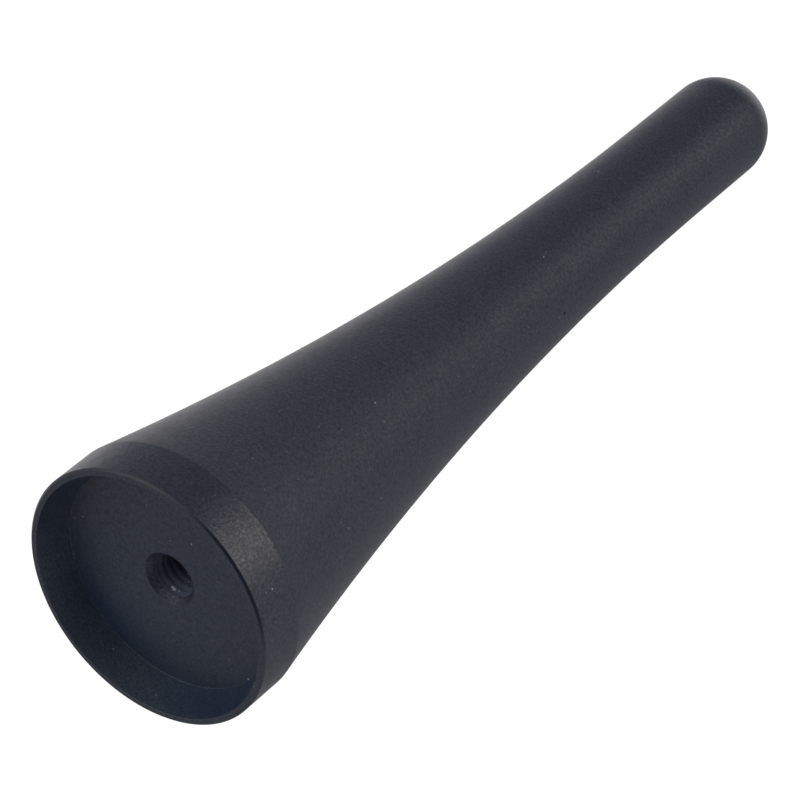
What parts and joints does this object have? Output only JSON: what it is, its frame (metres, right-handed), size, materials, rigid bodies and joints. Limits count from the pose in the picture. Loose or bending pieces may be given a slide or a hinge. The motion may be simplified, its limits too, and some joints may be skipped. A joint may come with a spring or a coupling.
{
  "type": "car mast aerial",
  "caption": "Short tapered aerial mast for a car roof, turned in aluminium with a dark satin finish, a round tip, and a recessed base with a threaded hole.",
  "frame": {"origin": "centre of the rim's flat face at the roof end, on which the mast stands", "axes": "+Z along the mast from the rim to the round tip; X and Y are any two directions across it, because the mast is a solid of revolution"},
  "size_m": [0.025, 0.025, 0.096],
  "materials": {
    "anodised_aluminium": "bead-blasted and anodised near-black, satin"
  },
  "bodies": {
    "root": {"mast": "anodised_aluminium"}
  },
  "joints": []
}
